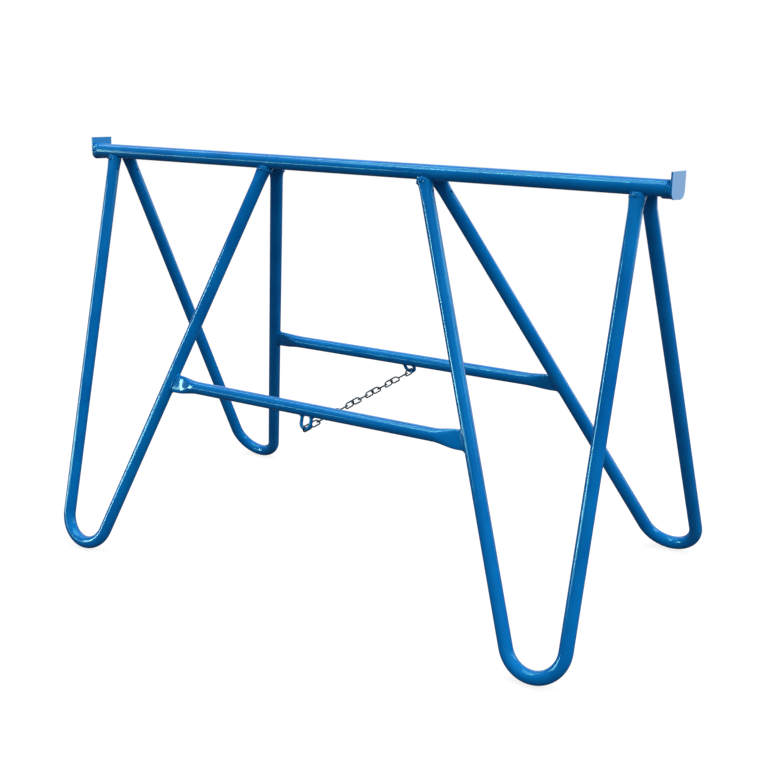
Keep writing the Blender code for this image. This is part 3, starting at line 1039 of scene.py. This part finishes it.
    def _brace(self) -> None:
        """Draw the brace, flatten its ends and cope them to the inner legs."""
        panel = self.panel
        rise, radius = self.sizes.brace_rise, self.sizes.tube_radius
        shoulder = self._brace_reach(rise + self.brace_end_height / 2.0, 0.0, 2.0 * self.weld_radius)
        end = self._brace_reach(rise, 0.0, 0.0)
        # Stations lie close together where the tube is pressed flat, and far apart along its middle.
        count = self.brace_pinch_steps
        pressed = [shoulder - self.brace_pinch * step / count for step in range(count, 0, -1)]
        plain = [pressed[0] * step / self.brace_middle_steps for step in range(self.brace_middle_steps)]
        right = [*plain, *pressed, shoulder, end]
        points = [panel.place(x, rise) for x in [-x for x in reversed(right[1:])] + right]
        shape = bmesh.new()
        draw_bar(shape, points, panel.up, radius, self.facets)
        for vertex in shape.verts:
            x, height, n = panel.measure(vertex.co)
            flat = ease((abs(x) - shoulder + self.brace_pinch) / self.brace_pinch)
            power = 1.0 - self.brace_squareness * flat
            tall = radius + (self.brace_end_height / 2.0 - radius) * flat
            thick = radius + (self.brace_end_thickness / 2.0 - radius) * flat
            height = rise + tall * signed_power((height - rise) / radius, power)
            n = thick * signed_power(n / radius, power)
            if abs(x) > end - MILLIMETRE:
                x = math.copysign(self._brace_reach(height, n, self.sizes.seat_gap), x)
            vertex.co = panel.place(x, height, n)
        self.maker.add(f"{panel.label}_cross_tube", shape, Finish.TUBE, panel.body, f"{panel.label}_brace")

    def _brace_weld(self, side: Side) -> None:
        """Lay the weld round a brace's flattened end.

        Args:
            side: Which end is welded.
        """
        panel = self.panel
        sink = self.brace_bead_sink * self.weld_radius
        up_power, out_power = self.brace_bead_squareness
        points = []
        for angle in around(self.weld_points):
            up, out = signed_power(math.cos(angle), up_power), signed_power(math.sin(angle), out_power)
            rise = self.sizes.brace_rise + (self.brace_end_height / 2.0 + sink) * up
            n = (self.brace_end_thickness / 2.0 + sink) * out
            points.append(panel.place(side.value * self._brace_reach(rise, n, sink), rise, n))
        shape = bmesh.new()
        self.brace_bead.lay(shape, points, X_AXIS, self.brace_seed * side.value + panel.facing)
        name, node = f"{panel.label}_cross_fillet_{side.word}", f"{panel.label}_brace_weld_{side.word}"
        self.maker.add(name, shape, Finish.WELD, panel.body, node, Crease.WELD)

    def staple_seat(self) -> Vector:
        """Middle of the staple's bottom bar, where the chain's end link hangs."""
        rise = self.sizes.brace_rise - self.sizes.tube_radius - self.staple_drop
        return self.panel.place(self.staple_x, rise)

    def _staple(self) -> None:
        """Bend the staple from round bar and weld its two legs under the brace."""
        panel = self.panel
        radius = self.staple_width / 2.0
        top = self.sizes.brace_rise - self.sizes.tube_radius
        centre = top - self.staple_drop + radius
        bend = around(2 * self.staple_facets)[: self.staple_facets + 1]
        path = [(-radius, top + self.staple_sink), (-radius, (top + centre) / 2.0)]
        path += [(-radius * math.cos(angle), centre - radius * math.sin(angle)) for angle in bend]
        path += [(radius, (top + centre) / 2.0), (radius, top + self.staple_sink)]
        points = [panel.place(self.staple_x + x, rise) for x, rise in path]
        shape = bmesh.new()
        draw_bar(shape, points, panel.normal, self.sizes.staple_radius, self.staple_facets)
        self.maker.add(f"{panel.label}_chain_staple", shape, Finish.TUBE, panel.body, f"{panel.label}_staple")
        blobs = bmesh.new()
        turn = Matrix((X_AXIS, panel.normal, panel.up)).transposed().to_4x4()
        for side in Side:
            root = panel.place(self.staple_x + side.value * radius, top + self.blob_sink)
            lie = Matrix.Translation(root) @ turn @ Matrix.Diagonal((*self.blob_reach, 1.0))
            bmesh.ops.create_icosphere(blobs, subdivisions=self.blob_divisions, radius=1.0, matrix=lie)
        blobs.normal_update()
        roughen(blobs.verts, *self.blob_grit, self.blob_seed * panel.facing)
        name = f"{panel.label}_staple_fillets"
        self.maker.add(name, blobs, Finish.WELD, panel.body, crease=Crease.WELD)


@dataclass
class Chain:
    """The chain between the staples, in a long front strand and a short back strand."""

    maker: PieceMaker
    sizes: Sizes
    start: Vector
    end: Vector
    count: int = 16
    back_count: int = 2
    wire_radius: float = 0.0015
    inner_width: float = 0.008
    open_gap: float = 0.0014
    link_turn: float = math.radians(60.0)
    facets: int = 16
    bend_steps: int = 16
    shank_steps: int = 8
    weld_swell: float = 0.16
    weld_narrowness: float = 7.0
    weld_cycle: int = 3

    def build(self) -> None:
        """Bend and place each link."""
        gap = self.sizes.seat_gap
        hook = self.sizes.staple_radius + self.wire_radius + gap
        overlap = 2.0 * self.wire_radius + gap
        run = self.end - self.start
        along = run.normalized()
        total = run.length + 2.0 * hook + (self.count - 2) * overlap - 2.0 * self.wire_radius - self.open_gap
        length = total / self.count
        # Each link is turned against the one before it, and both end links stand upright on their staples.
        turn_step = math.pi * round((self.count - 1) * self.link_turn / math.pi) / (self.count - 1)
        for index in range(self.count):
            in_back = index >= self.count - self.back_count
            from_staple = self.count - 1 - index if in_back else index
            reach = along * (length / 2.0 - hook + (length - overlap) * from_staple)
            centre = self.end - reach if in_back else self.start + reach
            # Every third link's butt weld is on its other side.
            weld_side = 1.0 if index % self.weld_cycle else -1.0
            shape = self._link(centre, along, -turn_step * index, length / 2.0, weld_side)
            body = "chain_back" if in_back else "chain_front"
            self.maker.add(f"link_{index + 1:02d}", shape, Finish.WIRE, body, f"chain_link_{index + 1:02d}")

    def _link(self, centre: Vector, along: Vector, turn: float, half: float, weld_side: float) -> Shape:
        """Bend one link of round wire, with the swelling of its butt weld on one side.

        Args:
            centre: The link's middle.
            along: The chain's direction.
            turn: The link's turn round the chain, from upright.
            half: Half the length of the link's centreline.
            weld_side: The sign of the side that is welded.

        Returns:
            The link.
        """
        sideways = Matrix.Rotation(turn, 3, along) @ Vector((0.0, 0.0, 1.0))
        bend = self.inner_width / 2.0 + self.wire_radius
        straight = half - bend
        points = []
        swell = []
        for sign in (1.0, -1.0):
            for step in range(self.bend_steps + 1):
                angle = math.pi * step / self.bend_steps
                lengthwise = along * (sign * (straight + bend * math.sin(angle)))
                points.append(centre + lengthwise + sideways * (sign * bend * math.cos(angle)))
                swell.append((1.0, 1.0))
            for step in range(1, self.shank_steps):
                share = step / self.shank_steps
                lengthwise = along * (sign * straight * (1.0 - 2.0 * share))
                points.append(centre + lengthwise - sideways * (sign * bend))
                bulge = math.exp(-(((share - 0.5) * self.weld_narrowness) ** 2)) if sign == weld_side else 0.0
                swell.append((1.0 + self.weld_swell * bulge, 1.0 + self.weld_swell * bulge))
        shape = bmesh.new()
        draw_bar(shape, points, along.cross(sideways), self.wire_radius, self.facets, True, swell)
        return shape


# Studio


@dataclass(frozen=True)
class Lamp:
    """A softbox, or a card that shows only as a gleam on the enamel."""

    name: str
    place: Triple
    aim: Triple
    width: float
    height: float
    watts: float
    gleam_only: bool = False


@dataclass
class Studio:
    """The camera at the photograph's view, a pale floor and soft lamps."""

    camera_place: Triple = (1.47207, -1.96504, 1.20059)
    yaw: float = math.radians(36.27032)
    pitch: float = math.radians(-20.42351)
    roll: float = math.radians(-3.34152)
    focal_pixels: float = 1320.234
    centre_pixels: Pair = (374.68, 416.57)
    sensor_mm: float = 36.0
    floor_size: float = 60.0
    floor_drop: float = 0.5 * MILLIMETRE
    floor_glow: float = 0.82
    paper: str = "#f2f2f2"
    # Painted shade: the dark grey that all rays but the camera's see on the paper.
    shaded_paper: str = "#3a3f44"
    shade_reach: Pair = (1.6, 3.6)
    mirror_reach: Pair = (1.8, 3.2)
    air_levels: Pair = (0.1, 2.0)
    air_direction: Triple = (0.32, -0.08, 0.94)
    air_edge: Pair = (-0.05, 0.95)
    room_level: float = 0.06
    ceiling_level: float = 0.32
    ceiling_direction: Triple = (0.0, 0.0, 1.0)
    ceiling_edge: Pair = (0.3, 0.85)
    sweep_direction: Triple = (-0.35, 0.94, 0.0)
    sweep_edge: Pair = (0.45, 0.95)
    lamps: tuple[Lamp, ...] = (
        Lamp("overhead_box", (-1.8, 0.3, 2.9), (-1.8, 0.15, 0.6), 4.4, 0.3, 30.0),
        Lamp("ceiling_panel", (-0.9, -0.8, 2.9), (-0.9, -0.75, 0.6), 1.8, 1.1, 22.0, gleam_only=True),
        Lamp("ceiling_edge", (-1.1, -1.43, 2.9), (-1.1, -1.35, 0.6), 1.1, 0.14, 15.0, gleam_only=True),
        Lamp("left_strip", (-3.6, -2.3, 0.9), (0.0, -0.1, 0.8), 0.55, 1.75, 70.0, gleam_only=True),
        Lamp("right_high_box", (2.7, 1.4, 2.0), (0.2, -0.1, 0.5), 3.0, 1.1, 38.0),
        Lamp("rear_card", (1.6, 2.35, 0.55), (0.65, 0.0, 0.78), 1.2, 1.0, 4.5, gleam_only=True),
        Lamp("low_front_strip", (-2.5, -2.6, 0.66), (-2.0, -0.1, 0.8), 1.6, 0.3, 13.0, gleam_only=True),
    )

    def build(self) -> None:
        """Set the camera, the world, the floor and the lamps."""
        self._camera()
        self._world()
        self._floor()
        for lamp in self.lamps:
            self._lamp(lamp)
        bpy.context.scene.view_settings.view_transform = "Standard"

    def _camera(self) -> None:
        """Place the camera."""
        data = bpy.data.cameras.new("photo_view")
        data.sensor_width = self.sensor_mm
        data.lens = self.focal_pixels / PHOTO_SIDE * self.sensor_mm
        data.shift_x = (PHOTO_SIDE / 2.0 - self.centre_pixels[0]) / PHOTO_SIDE
        data.shift_y = (self.centre_pixels[1] - PHOTO_SIDE / 2.0) / PHOTO_SIDE
        camera = bpy.data.objects.new("photo_view", data)
        turn = Matrix.Rotation(self.yaw, 4, "Z") @ Matrix.Rotation(math.pi / 2.0 + self.pitch, 4, "X")
        turn @= Matrix.Rotation(self.roll, 4, "Z")
        camera.matrix_world = Matrix.Translation(self.camera_place) @ turn
        bpy.context.scene.collection.objects.link(camera)
        bpy.context.scene.camera = camera

    def _reflected(self, owner: bpy.types.ID, rays: bpy.types.bpy_prop_collection) -> bpy.types.NodeSocket:
        """Give 1 for a ray that a gloss or a clear surface sends on, and 0 for any other."""
        both = {0: rays["Is Glossy Ray"], 1: rays["Is Transmission Ray"]}
        return add_node(owner, "Math", {"operation": "MAXIMUM"}, both)

    def _world(self) -> None:
        """Light softly from all round, and show the camera and reflections a white sweep."""
        world = bpy.data.worlds.new("studio_air")
        world.use_nodes = True
        world.node_tree.nodes.clear()
        rays = add_node(world, "LightPath").node.outputs
        way = add_node(world, "TexCoord", output="Generated")
        # The soft light falls mostly from above and from the right. Reflections show the white sweep behind
        # the trestle, a bright ceiling and the dim room elsewhere.
        glows = []
        for direction, reach in (
            (self.air_direction, ends(*self.air_edge, *self.air_levels)),
            (self.sweep_direction, ends(*self.sweep_edge, self.room_level)),
            (self.ceiling_direction, ends(*self.ceiling_edge, self.room_level, self.ceiling_level)),
        ):
            dot = {"operation": "DOT_PRODUCT", 1: direction}
            nearness = add_node(world, "VectorMath", dot, {0: way}, "Value")
            glows.append(add_node(world, "MapRange", reach, {"Value": nearness}))
        mirrored = add_node(world, "Math", {"operation": "MAXIMUM"}, {0: glows[1], 1: glows[2]})
        share = {"Factor": self._reflected(world, rays), "A": glows[0], "B": mirrored}
        lit = add_node(world, "Mix", links=share)
        level = add_node(world, "Mix", {"B": 1.0}, {"Factor": rays["Is Camera Ray"], "A": lit})
        air = add_node(world, "Background", {"Color": WHITE}, {"Strength": level})
        add_node(world, "OutputWorld", links={"Surface": air})
        bpy.context.scene.world = world

    def _floor(self) -> None:
        """Lay a pale floor with a soft shadow that runs out to pure white; other rays see painted shade."""
        shape = bmesh.new()
        bmesh.ops.create_grid(shape, x_segments=1, y_segments=1, size=self.floor_size / 2.0)
        floor = mesh_object("studio_floor", shape)
        floor.location.z = -self.floor_drop
        paper = new_material("white_paper")
        rays = add_node(paper, "LightPath").node.outputs
        place = add_node(paper, "TexCoord", output="Object")
        distance = add_node(paper, "VectorMath", {"operation": "LENGTH"}, {0: place}, "Value")
        seen = add_node(paper, "MapRange", ends(*self.shade_reach, self.floor_glow), {"Value": distance})
        multiply = {"operation": "MULTIPLY"}
        camera_share = add_node(paper, "Math", multiply, {0: rays["Is Camera Ray"], 1: seen})
        # Reflections show the paper glowing white behind the trestle, and nearer in the painted dark grey
        # shade.
        behind = add_node(paper, "SeparateXYZ", links={0: place}, output="Y")
        mirrored = add_node(paper, "MapRange", ends(*self.mirror_reach), {"Value": behind})
        mirror_share = add_node(paper, "Math", multiply, {0: self._reflected(paper, rays), 1: mirrored})
        share = add_node(paper, "Math", {"operation": "MAXIMUM"}, {0: camera_share, 1: mirror_share})
        # Painted shade: all rays but the camera's see the paper dark grey, so little light bounces back up.
        tones = {"data_type": "RGBA", 6: linear(self.shaded_paper), 7: linear(self.paper)}
        tone = add_node(paper, "Mix", tones, {0: rays["Is Camera Ray"]}, 2)
        matt = add_node(paper, "BsdfDiffuse", links={"Color": tone})
        glow = add_node(paper, "Emission", {"Color": WHITE, "Strength": 1.0})
        mixed = add_node(paper, "MixShader", links={0: share, 1: matt, 2: glow})
        add_node(paper, "OutputMaterial", links={"Surface": mixed})
        floor.data.materials.append(paper)

    def _lamp(self, lamp: Lamp) -> None:
        """Hang a softbox.

        Args:
            lamp: The softbox's place, aim, size and power.
        """
        data = bpy.data.lights.new(lamp.name, "AREA")
        data.shape = "RECTANGLE"
        data.size = lamp.width
        data.size_y = lamp.height
        data.energy = lamp.watts
        hung = bpy.data.objects.new(lamp.name, data)
        hung.location = lamp.place
        hung.visible_camera = False
        hung.visible_diffuse = not lamp.gleam_only
        hung.rotation_euler = (Vector(lamp.aim) - Vector(lamp.place)).to_track_quat("-Z", "Y").to_euler()
        bpy.context.scene.collection.objects.link(hung)


def main() -> None:
    """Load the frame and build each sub-assembly in order."""
    logging.basicConfig(level=logging.INFO, format="%(name)s: %(message)s")
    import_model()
    sizes = Sizes()
    maker = PieceMaker()
    front = Panel("front", "front_frame", sizes.rail_axis, sizes.rail_radius, facing=-1.0, sizes=sizes)
    back = Panel("back", "back_frame", sizes.hinge_axis, sizes.rod_radius, facing=1.0, sizes=sizes)
    front_frame = LegFrame(
        maker, front, top_width=0.029, top_thickness=0.0204, staple_x=-0.001, staple_drop=0.0235
    )
    back_frame = LegFrame(
        maker, back, top_width=0.031, top_thickness=0.016, staple_x=0.0, staple_drop=0.018
    )
    RailTop(maker, sizes).build()
    HingeRod(maker, sizes).build()
    front_frame.build()
    back_frame.build()
    Chain(maker, sizes, front_frame.staple_seat(), back_frame.staple_seat()).build()
    Studio().build()
    LOG.info("%d pieces", maker.count)


if __name__ == "__main__":
    main()
